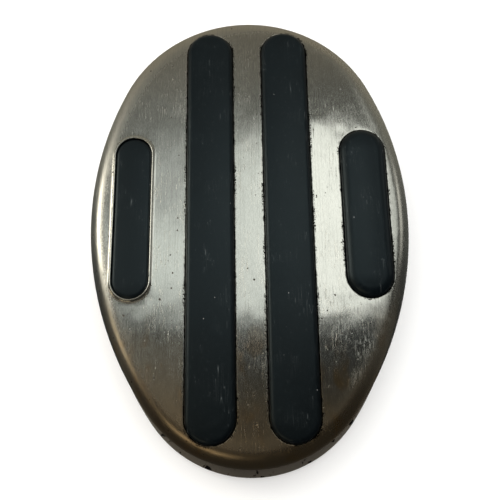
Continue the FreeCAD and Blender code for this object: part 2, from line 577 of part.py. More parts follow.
# Return springs stand in seats riveted to the tray.
SEAT_TOP = f"({FLOOR} + seat_thickness)"
SPRING_ARM = f"({SPRING_Y} - spring_lead - {HINGE_Y})"
CAP_HEIGHT = f"({CAP_UNDER} - hinge_level)"
SPRING_TOP = (f"(hinge_level + ({SPRING_ARM} - spring_diameter / 2) * tan(rest_angle)"
              f" + {CAP_HEIGHT} / cos(rest_angle))")
for (across, up), (side, way) in zip(SEAT_PLACES, SIDES):
    turned(f"spring_seat_{side}", [(across, up)], (
        (FLOOR, SEAT_TOP, "seat_diameter", RIVET_HOLE),
        (SEAT_TOP, f"{SEAT_TOP} + boss_height", "boss_diameter", RIVET_HOLE)))
    coil(f"return_spring_{side}", across, up, f"{SEAT_TOP} + spring_gap", f"{SPRING_TOP} - 2 * spring_gap",
         "spring_diameter", "spring_wire", "spring_turns")
turned("seat_rivets", SEAT_PLACES, (
    ("foot_height - rivet_cap", "foot_height", "rivet_head", None),
    ("foot_height", f"{SEAT_TOP} + boss_height", "rivet_diameter", None)))

# Travel stop: a bridge over the floor.  The lug comes up under its pad at rest, and the carrier
# comes down on the bumper on its top when the treadle is fully pressed.
LUG_ARM = f"({LUG_Y} + bridge_depth - {HINGE_Y})"
LUG_RAISED = f"(hinge_level + {LUG_ARM} * sin(rest_angle) + ({LUG_TOP} - hinge_level) * cos(rest_angle))"
BRIDGE_UNDER = f"({LUG_RAISED} + stop_gap + stop_pad_thickness)"
BRIDGE_TOP = f"({BRIDGE_UNDER} + bridge_thickness)"
bridge = new_body("stop_bridge")
pad(bridge, "XZ_Plane", f"0 - {STOP_Y} - bridge_depth / 2", f"0 - {STOP_Y} + bridge_depth / 2", polygon(
    ("0 - bridge_width / 2 - rivet_head - 2 * rivet_margin", FLOOR),
    ("0 - bridge_width / 2 + bridge_thickness", FLOOR),
    ("0 - bridge_width / 2 + bridge_thickness", BRIDGE_UNDER),
    ("bridge_width / 2 - bridge_thickness", BRIDGE_UNDER),
    ("bridge_width / 2 - bridge_thickness", FLOOR),
    ("bridge_width / 2 + rivet_head + 2 * rivet_margin", FLOOR),
    ("bridge_width / 2 + rivet_head + 2 * rivet_margin", f"{FLOOR} + bridge_thickness"),
    ("bridge_width / 2", f"{FLOOR} + bridge_thickness"),
    ("bridge_width / 2", BRIDGE_TOP),
    ("0 - bridge_width / 2", BRIDGE_TOP),
    ("0 - bridge_width / 2", f"{FLOOR} + bridge_thickness"),
    ("0 - bridge_width / 2 - rivet_head - 2 * rivet_margin", f"{FLOOR} + bridge_thickness")))
cut(bridge, "XY_Plane", FLOOR, f"{FLOOR} + bridge_thickness",
    *[circle(x, y, RIVET_HOLE) for x, y in BRIDGE_RIVETS])
floor_rivets("bridge_rivets", BRIDGE_RIVETS, "bridge_thickness")
turned("stop_bumper", [("0", STOP_Y)], (
    (BRIDGE_TOP, f"{CARRIER_UNDER} - stop_gap", "bumper_diameter", None),))
stop_pad = new_body("stop_pad")
pad(stop_pad, "XY_Plane", f"{BRIDGE_UNDER} - stop_pad_thickness", BRIDGE_UNDER, box(
    "0 - lug_width / 2", "lug_width / 2", f"{STOP_Y} - bridge_depth / 2", f"{STOP_Y} + bridge_depth / 2"))

# Speed control: a ceramic housing with two carbon stacks, bridged by a bar on the plunger.
housing = new_body("rheostat_housing")
house = (f"{CONTROL_Y} - housing_depth / 2", f"{CONTROL_Y} + housing_depth / 2")
pad(housing, "XY_Plane", FLOOR, HOUSING_TOP, box("0 - housing_width / 2", "housing_width / 2", *house))
cut(housing, "XY_Plane", CHAMBER_FLOOR, HOUSING_TOP, box(
    "0 - chamber_width / 2", "chamber_width / 2",
    f"{CONTROL_Y} - chamber_depth / 2", f"{CONTROL_Y} + chamber_depth / 2"))
STACKS = [(mirrored(way, "stack_offset"), CONTROL_Y) for side, way in SIDES]
TERMINAL_LOW = f"({FLOOR} + terminal_level)"
cut(housing, "XY_Plane", TERMINAL_LOW, CHAMBER_FLOOR,
    *[circle(x, y, "stack_diameter + 2 * stack_fit") for x, y in STACKS])
cut(housing, "XY_Plane", f"{TERMINAL_LOW} - spring_pocket", CHAMBER_FLOOR,
    circle("0", CONTROL_Y, "control_spring_diameter + 2 * pocket_fit"))
for side, way in SIDES:
    start, end = side_steps(way, "stack_offset", f"housing_width / 2 + {CLEAR}")
    cut(housing, "XY_Plane", TERMINAL_LOW, TERMINAL_TOP, box(
        start, end, f"{CONTROL_Y} - terminal_width / 2", f"{CONTROL_Y} + terminal_width / 2"))
    terminal = new_body(f"terminal_{side}")
    start, end = side_steps(way, "stack_offset - terminal_inset", "housing_width / 2 + terminal_reach")
    pad(terminal, "XY_Plane", TERMINAL_LOW, TERMINAL_TOP, box(
        start, end, f"{CONTROL_Y} - terminal_width / 2", f"{CONTROL_Y} + terminal_width / 2"))
BUTTON_LOW = f"({CHAMBER_FLOOR} - button_height)"
for (across, up), (side, way) in zip(STACKS, SIDES):
    turned(f"carbon_stack_{side}", [(across, up)], ((TERMINAL_TOP, BUTTON_LOW, "stack_diameter", None),))
    turned(f"contact_button_{side}", [(across, up)], ((BUTTON_LOW, CHAMBER_FLOOR, "stack_diameter", None),))
lid = new_body("rheostat_lid")
LID_TOP = f"({HOUSING_TOP} + cover_plate)"
pad(lid, "XY_Plane", HOUSING_TOP, LID_TOP, box("0 - housing_width / 2", "housing_width / 2", *house))
cut(lid, "XY_Plane", HOUSING_TOP, LID_TOP, circle("0", CONTROL_Y, "guide_diameter + 2 * guide_fit"))
LID_SCREWS = [
    (mirrored(way, "housing_width / 2 - lid_screw_side"),
     f"{CONTROL_Y} {sign} (housing_depth / 2 - lid_screw_end)")
    for side, way in SIDES for sign in ("+", "-")
]
cut(lid, "XY_Plane", HOUSING_TOP, LID_TOP, *[circle(x, y, "rivet_diameter") for x, y in LID_SCREWS])
cut(housing, "XY_Plane", FLOOR, HOUSING_TOP, *[circle(x, y, "rivet_diameter") for x, y in LID_SCREWS])
cut(tray, "XY_Plane", "foot_height", FLOOR, *[circle(x, y, "rivet_diameter") for x, y in LID_SCREWS])
turned("housing_screws", LID_SCREWS, (
    ("foot_height - rivet_cap", LID_TOP, "rivet_diameter", None),
    (LID_TOP, f"{LID_TOP} + rivet_cap", "rivet_head", None)))

# Suppressor can in a riveted clip.
CAN_LEVEL = f"({FLOOR} + can_lift + can_diameter / 2)"
turned("suppressor_can", [(CAN_Y, CAN_LEVEL)], (
    ("0 - can_length / 2", "can_length / 2", "can_diameter", None),), "YZ_Plane")
clip = new_body("suppressor_clip")
CLIP_OUT = "(can_diameter / 2 + clip_wall)"
pad(clip, "YZ_Plane", "0 - clip_width / 2", "clip_width / 2", box(
    f"{CAN_Y} - {CLIP_OUT} - clip_foot", f"{CAN_Y} + {CLIP_OUT} + clip_foot", FLOOR, f"{FLOOR} + clip_wall"))
pad(clip, "YZ_Plane", "0 - clip_width / 2", "clip_width / 2",
    box(f"{CAN_Y} - {CLIP_OUT}", f"{CAN_Y} + {CLIP_OUT}", FLOOR, CAN_LEVEL))
pad(clip, "YZ_Plane", "0 - clip_width / 2", "clip_width / 2", circle(CAN_Y, CAN_LEVEL, f"2 * {CLIP_OUT}"))
cut(clip, "YZ_Plane", "0 - clip_width / 2", "clip_width / 2", circle(CAN_Y, CAN_LEVEL, "can_diameter"))
cut(clip, "YZ_Plane", "0 - clip_width / 2", "clip_width / 2",
    box(f"{CAN_Y} - can_diameter / 2", f"{CAN_Y} + can_diameter / 2", FLOOR, CAN_LEVEL))
cut(clip, "XY_Plane", FLOOR, f"{FLOOR} + clip_wall", *[circle(x, y, RIVET_HOLE) for x, y in CLIP_RIVETS])
floor_rivets("clip_rivets", CLIP_RIVETS, "clip_wall")

# Appliance inlet at the toe end: a moulded well with two pins and ears riveted to the floor.
inlet = new_body("inlet_housing")
INLET_BACK = f"({INLET_FRONT} - inlet_depth)"
pad(inlet, "XY_Plane", FLOOR, INLET_TOP, box(
    "0 - inlet_width / 2", "inlet_width / 2", INLET_BACK, INLET_FRONT))
pad(inlet, "XY_Plane", FLOOR, f"{FLOOR} + bridge_thickness", box(
    "0 - inlet_width / 2 - inlet_flange", "inlet_width / 2 + inlet_flange",
    INLET_BACK, f"{INLET_BACK} + inlet_flange"))
WELL_SIDE = "(well_width / 2 - well_height / 2)"
for across in (f"0 - {WELL_SIDE}", WELL_SIDE):
    cut(inlet, "XZ_Plane", f"0 - {INLET_FRONT}", f"0 - {INLET_FRONT} + well_depth",
        circle(across, LEAD_LEVEL, "well_height"))
cut(inlet, "XZ_Plane", f"0 - {INLET_FRONT}", f"0 - {INLET_FRONT} + well_depth",
    box(f"0 - {WELL_SIDE}", WELL_SIDE, f"{LEAD_LEVEL} - well_height / 2", f"{LEAD_LEVEL} + well_height / 2"))
PINS = [(mirrored(way, "inlet_pin_pitch / 2"), LEAD_LEVEL) for side, way in SIDES]
cut(inlet, "XZ_Plane", f"0 - {INLET_FRONT}", f"0 - {INLET_BACK} + {CLEAR}",
    *[circle(x, z, "tag_diameter") for x, z in PINS])
cut(inlet, "XY_Plane", FLOOR, f"{FLOOR} + bridge_thickness",
    *[circle(x, y, RIVET_HOLE) for x, y in INLET_RIVETS])
PIN_TIP = f"({INLET_FRONT} - well_depth + inlet_pin_reach)"
TAG_END = f"({INLET_BACK} - tag_length)"
WELL_BACK = f"({INLET_FRONT} - well_depth)"
turned("inlet_pins", PINS, (
    (f"0 - {PIN_TIP}", f"0 - {WELL_BACK}", "inlet_pin_diameter", None),
    (f"0 - {WELL_BACK}", f"0 - {TAG_END}", "tag_diameter", None)), "XZ_Plane")
floor_rivets("inlet_rivets", INLET_RIVETS, "bridge_thickness")

# Plunger, contact bar and their spring, raised by the spring until the collar meets the lid.
TRAVEL = f"(control_reach * tan(rest_angle) + ({PAD_UNDER} - hinge_level) * (1 / cos(rest_angle) - 1))"
BAR_LOW = f"({CHAMBER_FLOOR} + {TRAVEL} + contact_gap)"
BAR_TOP = f"({BAR_LOW} + bridge_bar)"
DOME_TOP = f"({PAD_UNDER} + {TRAVEL} - plunger_gap)"
bar = new_body("contact_bar")
pad(bar, "XY_Plane", BAR_LOW, BAR_TOP, box(
    "0 - stack_offset - bar_width / 2", "stack_offset + bar_width / 2",
    f"{CONTROL_Y} - bar_width / 2", f"{CONTROL_Y} + bar_width / 2"))
plunger = new_body("plunger")
pad(plunger, "XY_Plane", BAR_TOP, f"{BAR_TOP} + collar_height", circle("0", CONTROL_Y, "collar_diameter"))
pad(plunger, "XY_Plane", f"{BAR_TOP} + collar_height", DOME_TOP, circle("0", CONTROL_Y, "guide_diameter"))
round_edges(plunger, "guide_diameter / 2 - dome_flat", at_level(DOME_TOP))
coil("plunger_spring", "0", CONTROL_Y,
     f"{TERMINAL_LOW} - spring_pocket + spring_gap", f"{BAR_LOW} - spring_gap",
     "control_spring_diameter", "control_spring_wire", "control_spring_turns")


def lead(label, way, route):
    """A lead of straight runs joined by tangent arcs, each as large as its two runs allow."""
    points = [Vector(size(mirrored(way, x)), size(y), size(LEAD_LEVEL)) for x, y in route]
    edges = []
    start = points[0]
    for before, corner, after in zip(points, points[1:], points[2:]):
        into = (corner - before).normalize()
        out = (after - corner).normalize()
        half_turn = into.getAngle(out) / 2
        shorter = min((corner - before).Length, (after - corner).Length)
        reach = 0.45 * shorter
        radius = reach / math.tan(half_turn)
        print(label, "arc radius", round(radius, 1))
        entry = corner - into * reach
        leave = corner + out * reach
        middle = corner + (out - into).normalize() * (radius / math.cos(half_turn) - radius)
        edges.append(Part.LineSegment(start, entry).toShape())
        edges.append(Part.Arc(entry, middle, leave).toShape())
        start = leave
    edges.append(Part.LineSegment(start, points[-1]).toShape())
    path = Part.Wire(edges)
    first = points[1] - points[0]
    section = Part.Wire(Part.Circle(points[0], first, size("lead_diameter") / 2).toShape())
    tube = path.makePipeShell([section], True, False)
    expected = math.pi * (size("lead_diameter") / 2) ** 2 * path.Length
    print(label, "volume ratio", round(tube.Volume / expected, 4), "length", round(path.Length, 1))
    piece = document.addObject("Part::Feature", label)
    piece.Label = label
    piece.Shape = tube
    piece.Placement = Placement()
    sub_parts.append(piece)


LEAD_X = "(housing_width / 2 + terminal_reach - terminal_width / 2)"
CHANNEL_X = "(bridge_width / 2 + rivet_head - rivet_margin)"
LEAD_ROUTE = [
    ("inlet_pin_pitch / 2", TAG_END),
    ("inlet_pin_pitch / 2", f"{TAG_END} - 5.5"),
    (f"{CHANNEL_X} - 0.6", f"{STOP_Y} + bridge_depth / 2 + 2"),
    (f"{CHANNEL_X} + 0.6", f"{STOP_Y} - bridge_depth / 2 - 4"),
    ("can_length / 2 + lead_clearance + 2", f"({STOP_Y} + {CAN_Y}) / 2 - 3.25"),
    (LEAD_X, f"{CAN_Y} + 1"),
    (f"{LEAD_X} + 0.4", f"{CONTROL_Y} + terminal_width / 2 - 4"),
]
for label, way in (("lead_live", -1), ("lead_neutral", 1)):
    lead(label, way, LEAD_ROUTE)

document.recompute()
for item in document.Objects:
    if "Invalid" in item.State or "Error" in item.State:
        raise RuntimeError(f"{item.Label} is in a failed state")
for piece in sub_parts:
    if piece.Shape.isNull() or not piece.Shape.isValid():
        raise RuntimeError(f"{piece.Label} has no valid shape")

os.makedirs("parts", exist_ok=True)
for piece in sub_parts:
    piece.Shape.exportStep(f"parts/{piece.Label}.step")
print(len(sub_parts), "sub-parts written")
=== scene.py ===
import math

import bmesh
import bpy
import mathutils
import numpy as np
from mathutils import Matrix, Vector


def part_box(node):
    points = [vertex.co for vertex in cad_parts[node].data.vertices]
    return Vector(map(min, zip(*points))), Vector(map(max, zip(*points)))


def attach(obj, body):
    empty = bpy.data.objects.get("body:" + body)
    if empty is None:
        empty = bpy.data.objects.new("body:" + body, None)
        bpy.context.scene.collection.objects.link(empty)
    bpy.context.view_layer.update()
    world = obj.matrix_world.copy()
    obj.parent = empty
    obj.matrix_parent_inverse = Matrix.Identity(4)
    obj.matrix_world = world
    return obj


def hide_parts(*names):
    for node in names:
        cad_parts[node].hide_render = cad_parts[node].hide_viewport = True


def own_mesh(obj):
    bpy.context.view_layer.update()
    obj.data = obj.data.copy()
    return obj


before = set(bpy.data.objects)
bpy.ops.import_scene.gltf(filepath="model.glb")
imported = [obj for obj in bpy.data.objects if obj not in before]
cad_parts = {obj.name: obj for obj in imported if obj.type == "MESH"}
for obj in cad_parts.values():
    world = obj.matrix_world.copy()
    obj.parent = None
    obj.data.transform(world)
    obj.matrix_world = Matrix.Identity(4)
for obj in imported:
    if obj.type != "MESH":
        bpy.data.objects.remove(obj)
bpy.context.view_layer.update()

# ---------------------------------------------------------------------------------------------
# Treadle cover: one drawn sheet of stainless steel, egg-shaped, with a rolled rim, a skirt and
# four slots. It is brushed along its length, and worn bright, pitted and scratched by use.
# ---------------------------------------------------------------------------------------------
MM = 0.001
HALF_WIDTH, HALF_LENGTH = 56.5, 82.5
TOE_RADIUS, HEEL_RADIUS, SIDE_RADIUS = 50.0, 42.5, 117.43
WALL, ROLL, TOP = 1.2, 5.5, 34.0
SKIRT_TOE, SKIRT_HEEL, NOTCH_HALF, NOTCH_TOP = 12.5, 19.5, 12.0, 19.0
EDGE_ROUND, NOTCH_EASE = 0.25, 1.2  # rounding of the cut edge, and width of the notch's slope
RIM_MEET = 2.0  # how far in the rim's sheet ends and the face begins
EASE_DROP, EASE_REACH = 0.55, 11.0  # how far the sheet sags before the roll, and from how far in
COLLAR, LIP_COLLAR = 1.4, 1.7  # widths of the bands round the plain slots and the lipped one
SLOT_FILLET, LIP_BEAD = 0.40, 0.30
FACE_RINGS, FACE_GRID = (2.6, 3.3, 4.1, 4.8, 5.5, 6.2), 2.7  # spacing of the face's points
FACE_START = 7.0  # how far in the square grid of points begins
DIRT_SHELTER = 0.8  # how much less dirt reaches the lipped slot's rim
RUB_BELOW = 3.0  # how far down the skirt below the roll the rubbing and the painted shade on the heel's roll reach
SLOT_REACH, RIM_REACH = 4.0, 20.0  # farther than these from a slot, rim or foot all wear and painted shade is even
MERGE, SLIVER = 2e-6, 1e-6  # in metres: closer corners become one, and shorter edges go
SLOTS = {  # middle across, middle along, width, length, height of the lip round it
    "long_tread_left": (-13.7, 0.0, 16.8, 150.0, 0.0),
    "long_tread_right": (13.7, 0.0, 16.8, 150.0, 0.0),
    "short_tread_left": (-41.0, 2.6, 12.9, 59.4, 0.65),
    "short_tread_right": (40.8, 3.0, 16.2, 62.0, 0.0),
}
pin_low, pin_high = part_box("hinge_pin")
PIN_Y, PIN_Z = (pin_low[1] + pin_high[1]) / 2 / MM, (pin_low[2] + pin_high[2]) / 2 / MM
REST_TILT = math.radians(6.0)


def egg_edge(facing, inset):
    """Points of the egg moved in by inset, in millimetres. Each way the edge can face belongs to
    one of four touching arcs: the point is that arc's middle plus its radius, less the inset,
    along the way it faces."""
    toe_y, heel_y = HALF_LENGTH - TOE_RADIUS, HEEL_RADIUS - HALF_LENGTH
    side_x = SIDE_RADIUS - HALF_WIDTH
    side_y = toe_y - math.sqrt((SIDE_RADIUS - TOE_RADIUS) ** 2 - side_x ** 2)
    upper = math.atan2(toe_y - side_y, side_x)
    lower = math.atan2(heel_y - side_y, side_x)
    turn = (facing - lower) % (2 * math.pi) + lower
    arcs = [turn < upper, turn < math.pi - upper, turn < math.pi - lower]
    middle_x = np.select(arcs, [-side_x, 0.0, side_x], 0.0)
    middle_y = np.select(arcs, [side_y, toe_y, side_y], heel_y)
    radius = np.select(arcs, [SIDE_RADIUS, TOE_RADIUS, SIDE_RADIUS], HEEL_RADIUS) - inset
    return middle_x + radius * np.cos(turn), middle_y + radius * np.sin(turn)


def slot_edge(middle, half_width, half_length, columns=24):
    """Ways to face and the places along a round-ended slot's axis, going round it once: up the
    right side, over the end, down the left side and round the other end."""
    reach = half_length - half_width
    straight = np.linspace(-reach, reach, columns, endpoint=False)
    swing = np.linspace(0.0, math.pi, columns, endpoint=False)
    facing = np.concatenate([0 * straight, swing, 0 * straight + math.pi, swing + math.pi])
    along = np.concatenate([straight, 0 * swing + reach, -straight, 0 * swing - reach])
    return facing, along + middle


def quads(rows, columns):
    """Four-cornered faces between neighbouring rows of a grid whose columns close round."""
    row = np.arange(rows - 1)[:, None] * columns
    here = np.arange(columns)[None, :]
    after = (here + 1) % columns
    corners = [row + here, row + after, row + columns + after, row + columns + here]
    return np.stack(corners, -1).reshape(-1, 4)


def tilted(points):
    """Points drawn level, in millimetres, turned up to rest about the hinge pin, in metres."""
    across, along, up = points[..., 0], points[..., 1] - PIN_Y, points[..., 2] - PIN_Z
    cos, sin = math.cos(REST_TILT), math.sin(REST_TILT)
    y, z = PIN_Y + along * cos - up * sin, PIN_Z + along * sin + up * cos
    return np.stack([across, y, z], -1) * MM


def joined(name, sheets, finish, body, sharp=40.0):
    """One smooth object from sheets of (points in metres, faces), with touching corners merged."""
    shell = bmesh.new()
    for points, faces in sheets:
        sheet = bpy.data.meshes.new("sheet")
        sheet.from_pydata(points.reshape(-1, 3).tolist(), [], faces.tolist())
        shell.from_mesh(sheet)
        bpy.data.meshes.remove(sheet)
    bmesh.ops.remove_doubles(shell, verts=shell.verts, dist=MERGE)
    bmesh.ops.dissolve_degenerate(shell, edges=shell.edges, dist=SLIVER)
    mesh = bpy.data.meshes.new(name)
    shell.to_mesh(mesh)
    shell.free()
    mesh.shade_smooth()
    mesh.set_sharp_from_angle(angle=math.radians(sharp))
    mesh.materials.append(finish)
    piece = bpy.data.objects.new(name, mesh)
    bpy.context.scene.collection.objects.link(piece)
    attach(piece, body)
    return piece


class Signal:
    """A shader socket that takes part in Python's arithmetic. Each operator adds its Math node."""

    def __init__(self, wiring, socket):
        self.wiring = wiring
        self.socket = socket

    def math(self, operation, *others):
        """A Math node of the operation over this signal and the others."""
        values = dict(enumerate((self, *others)))
        return self.wiring.node("ShaderNodeMath", dict(operation=operation), values)

    def __add__(self, other): return self.math("ADD", other)
    def __radd__(self, other): return self.math("ADD", other)
    def __sub__(self, other): return self.math("SUBTRACT", other)
    def __rsub__(self, other): return (self * -1.0) + other
    def __mul__(self, other): return self.math("MULTIPLY", other)
    def __rmul__(self, other): return self.math("MULTIPLY", other)
    def __abs__(self): return self.math("ABSOLUTE")

    def step(self, start, end):
        """0 at start and 1 at end, with a soft rise between them; start may be the larger."""
        low, high = (start, end) if start < end else (end, start)
        rise = self.wiring.node("ShaderNodeMapRange", dict(interpolation_type="SMOOTHSTEP"),
                                {0: self, 1: low, 2: high})
        return rise if start < end else 1.0 - rise


class Wiring:
    """An emptied node tree and the one method that adds nodes to it."""

    def __init__(self, tree):
        self.tree = tree
        tree.nodes.clear()

    def node(self, kind, settings, sockets, out=0):
        """Add a node: its type, its settings, then the values or links of its sockets."""
        node = self.tree.nodes.new(kind)
        for key, value in settings.items():
            if key == "stops":
                ramp = node.color_ramp.elements
                for position, shade in value:
                    ramp.new(position).color = (*shade, 1.0)
                ramp.remove(ramp[0])
                ramp.remove(ramp[-1])
            else:
                setattr(node, key, value)
        for key, value in sockets.items():
            if isinstance(value, Signal):
                self.tree.links.new(value.socket, node.inputs[key])
            else:
                node.inputs[key].default_value = value
        return Signal(self, node.outputs[out]) if node.outputs else None


class Finish(Wiring):
    """One material and the nodes that make it. Its patterns are placed in millimetres."""

    def __init__(self, name):
        self.material = bpy.data.materials.new(name)
        self.material.use_nodes = True
        super().__init__(self.material.node_tree)
        place = self.node("ShaderNodeTexCoord", {}, {}, "Object")
        self.place = self.node(
            "ShaderNodeVectorMath", dict(operation="SCALE"), {0: place, "Scale": 1 / MM})
        self.x, self.y, self.z = (
            self.node("ShaderNodeSeparateXYZ", {}, {0: self.place}, axis) for axis in "XYZ")

    def noise(self, scale, stretch=(1.0, 1.0, 1.0), turn=0.0, detail=3.0, warp=0.0, shift=0.0):
        """Soft noise from 0 to 1 with scale spots to the millimetre, stretched and turned."""
        place = self.node("ShaderNodeMapping", {}, {
            "Vector": self.place, "Location": (shift, shift, shift),
            "Rotation": (0.0, 0.0, math.radians(turn)), "Scale": stretch})
        return self.node("ShaderNodeTexNoise", {}, {
            "Vector": place, "Scale": scale, "Detail": detail, "Roughness": 0.55,
            "Distortion": warp})

    def spots(self, scale, out=0):
        """Distance to the nearest of scattered points, or each point's own colour."""
        return self.node("ShaderNodeTexVoronoi", {}, {"Vector": self.place, "Scale": scale}, out)

    def measured(self, name):
        """A number that the mesh carries at each of its points."""
        return self.node("ShaderNodeAttribute", dict(attribute_name=name), {}, "Fac")

    def blend(self, amount, first, second):
        """The first colour where amount is 0 and the second where it is 1."""
        return self.node(
            "ShaderNodeMix", dict(data_type="RGBA"), {0: amount, 6: first, 7: second}, 2)

    def bump(self, height, depth, under=None):
        """Normals for a relief whose height runs from 0 to 1, depth millimetres deep."""
        sockets = {"Height": height, "Distance": depth * MM}
        if under:
            sockets["Normal"] = under
        return self.node("ShaderNodeBump", {}, sockets)

    def surface(self, colour, roughness, normal=None, **fixed):
        """The closing shader. What varies is linked, and the rest is set on its own socket."""
        sockets = {"Base Color": colour, "Roughness": roughness}
        if normal:
            sockets["Normal"] = normal
        sockets.update({name.replace("_", " "): value for name, value in fixed.items()})
        shader = self.node("ShaderNodeBsdfPrincipled", {}, sockets)
        self.node("ShaderNodeOutputMaterial", {}, {"Surface": shader})
        return self.material


def colour(red, green, blue):
    """A colour given as it looks on a screen, from 0 to 255, in the renderer's own scale."""
    return tuple((part / 255) ** 2.2 for part in (red, green, blue)) + (1.0,)


# Brushed sheet: fine lines along its length turn the light sideways; rubbing has left scratches,
# pits and black dirt against the slots. The colour turns browner towards both ends, most at the
# heel; it also holds painted golden glints and painted shade on the heel's roll, black spots of
# painted shade in the seam along the heel's foot, and a painted highlight on the skirt's cut edge.
steel = Finish("brushed_stainless")
lines = steel.noise(2.4, (1.0, 0.016, 0.10), detail=4.0)
fine_lines = steel.noise(7.0, (1.0, 0.03, 0.2), shift=7.0)
satin_grain = steel.noise(2.0, (1.0, 0.6, 1.0), shift=13.0)
waves = steel.noise(0.055, (1.0, 0.8, 1.0), detail=2.0, shift=3.0)
patches = steel.noise(0.045, (1.3, 0.5, 1.0), detail=4.0, warp=0.6, shift=11.0)
grime = steel.noise(0.55, (1.0, 0.7, 1.0), detail=5.0, warp=0.8, shift=5.0)
scratches = 0.0
for turn, density, shift in ((8.0, 0.16, 1.0), (-23.0, 0.13, 2.0), (64.0, 0.10, 4.0)):
    line = abs(steel.noise(density, (6.0, 0.22, 0.22), turn, detail=1.0, shift=shift) - 0.5)
    patch = steel.noise(0.12, detail=1.0, shift=shift * 9.0).step(0.52, 0.66)
    scratches = line.step(0.0045, 0.0015) * patch + scratches
pit_sizes = steel.noise(0.5, detail=1.0, shift=21.0).step(0.50, 0.75)
pits = (steel.spots(0.42) - pit_sizes * 0.17).step(0.05, -0.02)
rubbing = (steel.noise(3.4, (1.0, 0.22, 1.0), -38.0, shift=71.0)
           + steel.noise(3.0, (1.0, 0.20, 1.0), 24.0, shift=81.0)) * 0.5
smears = steel.noise(1.5, (1.0, 0.22, 1.0), -28.0, detail=5.0, warp=0.4, shift=41.0)
cloud = (smears.step(0.44, 0.62) * steel.noise(0.14, detail=2.0, shift=43.0).step(0.40, 0.60)
         * steel.x.step(24.0, 36.0) * steel.y.step(-20.0, -34.0) * steel.y.step(-66.0, -52.0))

from_slot, from_foot = steel.measured("from_slot"), steel.measured("from_foot")
rolled = steel.measured("from_rim").step(9.0, 3.5)
# The skirt's cut edge is made less metallic so it reads paler: a painted highlight.
foot_edge_highlight = from_foot.step(1.2, 0.5)
# Black spots along the skirt's foot at the heel: painted shade of the seam between skirt and tray.
seam_shade_spots = (steel.noise(0.42, (1.0, 1.0, 0.5), detail=4.0, warp=0.8, shift=51.0).step(0.50, 0.56)
          * from_foot.step(3.0, 1.8) * (steel.y + steel.x * 0.5).step(-48.0, -64.0))
specked = (steel.noise(2.4, (1.0, 0.7, 1.0), detail=2.0, shift=61.0).step(0.50, 0.55)
           * from_slot.step(1.1, 0.6)
           * steel.noise(0.09, detail=2.0, shift=63.0).step(0.47, 0.56))
dirt_and_seam_shade = (from_slot - grime * 1.6).step(-0.15, -0.85)
# The dirt against the slots, joined by the specks there and by the painted seam shade at the heel.
dirt_and_seam_shade = dirt_and_seam_shade.math("MAXIMUM", seam_shade_spots).math("MAXIMUM", specked)
left_side = steel.x.step(24.0, -16.0)
ends = (abs(steel.y + 4.0) + patches * 14.0).step(44.0, 84.0)
# Golden patches towards the heel: painted glints of warm light.
painted_golden_glints = (steel.noise(0.10, (1.0, 0.5, 1.0), shift=31.0).step(0.50, 0.68)
          * steel.y.step(-30.0, -62.0))

sheen = steel.blend(patches, colour(200, 202, 196), colour(222, 223, 216))
for share, overlay_colour in (
        # The first and fourth colours make the sheet browner towards both ends, most at the heel.
        (ends * 0.6, colour(196, 186, 168)),
        (painted_golden_glints * 0.7, colour(214, 170, 104)),
        (lines.step(0.50, 0.30) * 0.20, colour(150, 150, 144)),
        (steel.y.step(-45.0, -75.0) * 0.45, colour(206, 176, 130)),
        # Darker brown on the roll towards the heel: painted shade.
        (rolled * steel.y.step(-15.0, -70.0) * 0.6, colour(122, 106, 84)),
        (rubbing.step(0.56, 0.42) * 0.15, colour(132, 132, 127)),
        (pits * 0.75, colour(70, 64, 56)),
        (dirt_and_seam_shade, colour(12, 11, 10))):
    sheen = steel.blend(share, sheen, overlay_colour)
shine = (patches * 0.06 + 0.045 + ends * 0.03 + cloud * 0.16 + pits * 0.3 + dirt_and_seam_shade * 0.25
         + rolled * 0.15 + rubbing.step(0.44, 0.60) * 0.030 + satin_grain * 0.04
         + scratches * 0.12 + (steel.y.step(-10.0, 45.0) * 0.07 + 0.04) * left_side)
hollows = 1.0 - pits - scratches * 0.6 - dirt_and_seam_shade * 0.4
relief = None
for height, depth in (
        (lines, 0.0095), (fine_lines, 0.0050), (satin_grain, 0.0024), (waves, 0.22),
        (hollows, 0.03)):
    relief = steel.bump(height, depth, relief)
steel_finish = steel.surface(sheen, shine, relief, Metallic=1.0 - foot_edge_highlight * 0.25)


def easing(inset):
    """How far the drawn sheet sags towards its rim: a cube that grows over the easing's reach."""
    return EASE_DROP * np.clip(1 - inset / EASE_REACH, 0, 1) ** 3


def face_height(x, y, radius):
    """Height of one face of the cover over level places: flat, and a quarter circle of the radius
    down towards the rim, less the easing. How far in a place lies is the least of its distances
    from the lines that touch the egg."""
    facing = np.linspace(0, 2 * math.pi, 720, endpoint=False)
    rim_x, rim_y = egg_edge(facing, 0.0)
    inset = (rim_x - x[..., None]) * np.cos(facing) + (rim_y - y[..., None]) * np.sin(facing)
    inset = inset.min(-1)
    bend = np.sqrt(radius ** 2 - np.clip(ROLL - inset, 0, radius) ** 2)
    return TOP - ROLL + bend - easing(inset), inset


def slot_gaps(x, y, collars):
    """How far level places lie outside the nearest slot and its collar: the distance from the
    slot's middle line, less half the slot's width and the collar."""
    gaps = []
    for (across, middle, width, length, _), collar in zip(SLOTS.values(), collars):
        beyond = np.maximum(np.abs(y - middle) - (length - width) / 2, 0)
        gaps.append(np.hypot(x - across, beyond) - width / 2 - collar)
    return np.min(gaps, axis=0)


